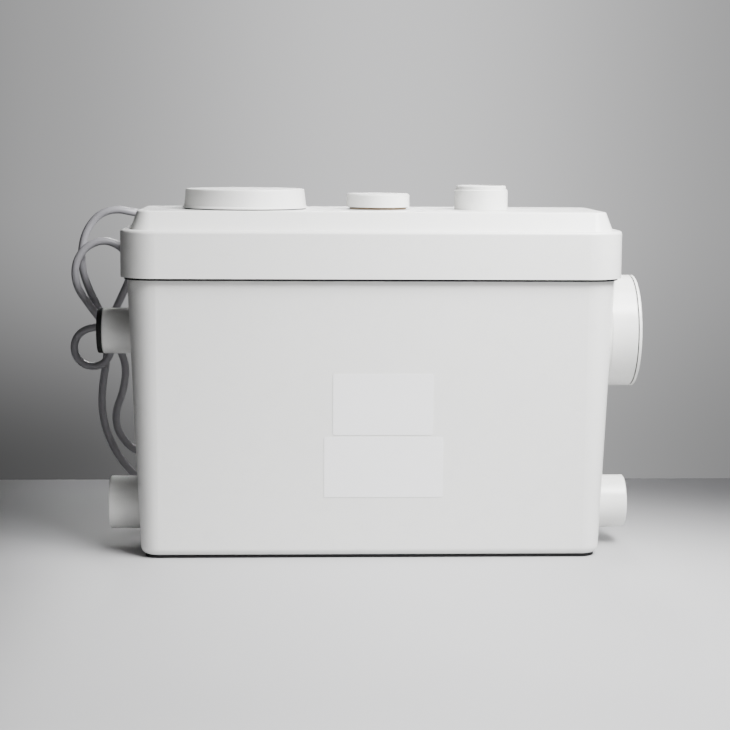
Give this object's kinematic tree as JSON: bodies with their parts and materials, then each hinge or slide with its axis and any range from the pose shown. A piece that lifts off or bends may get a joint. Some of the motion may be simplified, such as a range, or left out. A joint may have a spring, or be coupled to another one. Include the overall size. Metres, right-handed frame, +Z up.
{
  "type": "sewage lifting station",
  "caption": "Compact sewage lifting station: tapered tank, skirted lid with motor cap, vent and outlet, side inlets with flap valves, and a grinder pump inside.",
  "frame": {"origin": "on the floor under the middle of the tank", "axes": "+X along the tank to the large inlet, +Y to the back where the cord leaves, +Z up"},
  "size_m": [0.5425, 0.2366, 0.3415],
  "materials": {
    "white_shell": "satin moulded, slightly warm white",
    "white_trim": "satin moulded white",
    "inner_plastic": "matt moulded, off-white",
    "grey_plastic": "matt moulded, dark grey",
    "black_rubber": "matt black rubber",
    "charcoal": "rough black",
    "steel": "brushed stainless",
    "zinc_screw": "bright zinc",
    "motor_iron": "dull iron laminations",
    "copper": "enamelled copper wire",
    "aluminium": "cast, satin",
    "cord_grey": "satin light grey sheath",
    "pin_metal": "nickel-plated"
  },
  "bodies": {
    "housing": {"tank": "white_shell", "feet": "black_rubber", "lid_gasket": "black_rubber", "lid": "white_shell", "lid_screws": "zinc_screw", "left_low_inlet": "white_trim", "right_low_inlet": "white_trim", "left_high_inlet": "white_trim", "soil_inlet": "white_trim", "flap_pins": "steel", "left_high_seal": "black_rubber", "vent_seal": "black_rubber", "carbon_filter": "charcoal", "outlet_pipe": "white_trim", "outlet_ring": "white_trim", "valve_seat": "inner_plastic", "check_pin": "steel", "motor_can": "inner_plastic", "can_screws": "zinc_screw", "stator": "motor_iron", "windings": "copper", "lower_bearing": "steel", "upper_bearing": "steel", "end_shield": "aluminium", "shaft_seal": "black_rubber", "electrics_tray": "grey_plastic", "capacitor": "grey_plastic", "terminal_block": "inner_plastic", "pump_casing": "grey_plastic", "pump_screws": "zinc_screw", "suction_plate": "steel", "basket_screws": "zinc_screw", "grinder_basket": "grey_plastic", "discharge_hose": "black_rubber", "hose_clamps": "steel", "level_tube": "inner_plastic", "level_membrane": "black_rubber", "level_cup": "inner_plastic", "micro_switch": "grey_plastic", "strain_relief": "cord_grey", "supply_cord": "cord_grey", "cord_tie": "grey_plastic", "plug": "cord_grey", "plug_pins": "pin_metal"},
    "pump_rotor": {"rotor": "motor_iron", "motor_shaft": "steel", "impeller": "grey_plastic", "cutter_blade": "steel", "cutter_nut": "steel"},
    "motor_cover": {"motor_cap": "white_shell", "motor_cap_ring": "black_rubber"},
    "vent_cover": {"vent_cap": "white_trim"},
    "soil_cover": {"soil_cap": "white_trim", "soil_cap_rings": "black_rubber"},
    "left_low_valve": {"left_low_flap": "black_rubber"},
    "right_low_valve": {"right_low_flap": "black_rubber"},
    "left_high_valve": {"left_high_flap": "black_rubber"},
    "outlet_valve": {"check_flap": "black_rubber"},
    "switch_plunger": {"level_plunger": "grey_plastic"}
  },
  "joints": [
    {"name": "pump_spin", "type": "hinge", "parent": "housing", "child": "pump_rotor", "pos_m": [-0.117, 0, 0.128], "axis": [0, 0, 1], "continuous": true},
    {"name": "motor_cap_lift", "type": "slide", "parent": "housing", "child": "motor_cover", "axis": [0, 0, 1], "range_m": [0, 0.06]},
    {"name": "vent_cap_lift", "type": "slide", "parent": "housing", "child": "vent_cover", "axis": [0, 0, 1], "range_m": [0, 0.03]},
    {"name": "soil_cap_pull", "type": "slide", "parent": "housing", "child": "soil_cover", "axis": [1, 0, 0], "range_m": [0, 0.04]},
    {"name": "left_low_flap_swing", "type": "hinge", "parent": "housing", "child": "left_low_valve", "pos_m": [-0.20132, 0, 0.068], "axis": [0, -1, 0], "range_deg": [0, 45]},
    {"name": "right_low_flap_swing", "type": "hinge", "parent": "housing", "child": "right_low_valve", "pos_m": [0.20132, 0, 0.068], "axis": [0, 1, 0], "range_deg": [0, 45]},
    {"name": "left_high_flap_swing", "type": "hinge", "parent": "housing", "child": "left_high_valve", "pos_m": [-0.20819, 0, 0.2285], "axis": [0, -1, 0], "range_deg": [0, 40]},
    {"name": "outlet_flap_swing", "type": "hinge", "parent": "housing", "child": "outlet_valve", "pos_m": [0.0892, 0, 0.2533], "axis": [0, -1, 0], "range_deg": [0, 60]},
    {"name": "switch_plunger_slide", "type": "slide", "parent": "housing", "child": "switch_plunger", "axis": [0, 0, 1], "range_m": [0, 0.0025], "stiffness_N_per_m": 200, "springref_m": -0.002}
  ]
}
